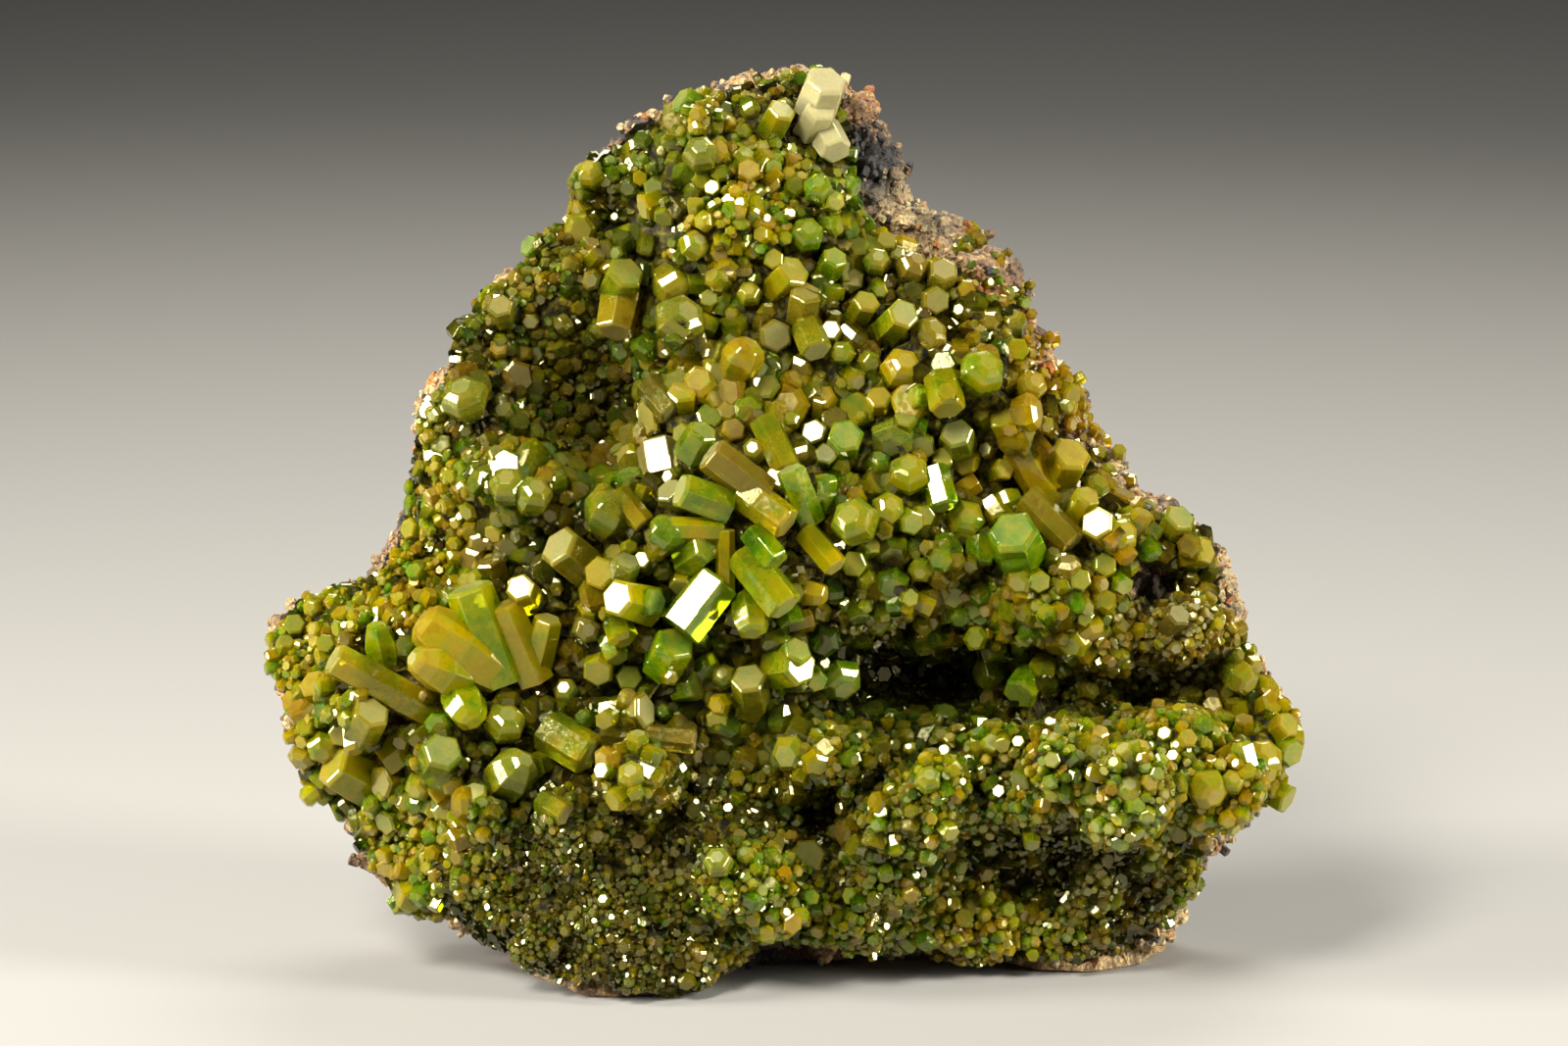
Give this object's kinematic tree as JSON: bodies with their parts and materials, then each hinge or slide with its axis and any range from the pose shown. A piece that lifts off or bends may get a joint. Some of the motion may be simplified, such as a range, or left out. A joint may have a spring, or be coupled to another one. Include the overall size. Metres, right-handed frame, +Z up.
{
  "type": "mimetite mineral specimen",
  "caption": "Craggy piece of brown rock crusted on its front with yellow-green six-sided mimetite crystals; stands on a flat base.",
  "frame": {"origin": "centre of the bounding box, on the ground", "axes": "+X to the right as seen from the front, -Y towards the viewer, the side with the crystals, +Z up"},
  "size_m": [0.1049, 0.0479, 0.0896],
  "materials": {
    "rock": "rough, granular",
    "crust": "druse of small crystals, glassy",
    "crystal": "smooth faces, resinous to glassy"
  },
  "bodies": {
    "root": {"barrel_group_left": "crystal", "barrel_lower_left": "crystal", "block_lower_left": "crystal", "bright_block_centre": "crystal", "bright_block_right": "crystal", "bright_prism_centre": "crystal", "cream_group_peak": "crystal", "crystal_crust": "crust", "dark_block_centre": "crystal", "flat_prism_centre": "crystal", "green_barrel_left": "crystal", "green_block_centre": "crystal", "green_end_centre": "crystal", "green_prism_centre": "crystal", "hexagonal_block_right": "crystal", "large_prism_centre": "crystal", "long_prism_left": "crystal", "lying_prism_low": "crystal", "matrix": "rock", "olive_block_lower_left": "crystal", "olive_prism_centre": "crystal", "pale_block_left": "crystal", "round_barrel_left": "crystal", "round_prism_upper": "crystal", "stacked_prisms_centre": "crystal", "tabular_group_left": "crystal", "tall_green_prism_centre": "crystal", "tan_block_centre": "crystal", "tan_block_left": "crystal", "tan_block_upper": "crystal", "tan_prism_right": "crystal", "twin_prisms_right": "crystal", "upright_prism_centre": "crystal", "yellow_prism_centre": "crystal"}
  },
  "joints": []
}
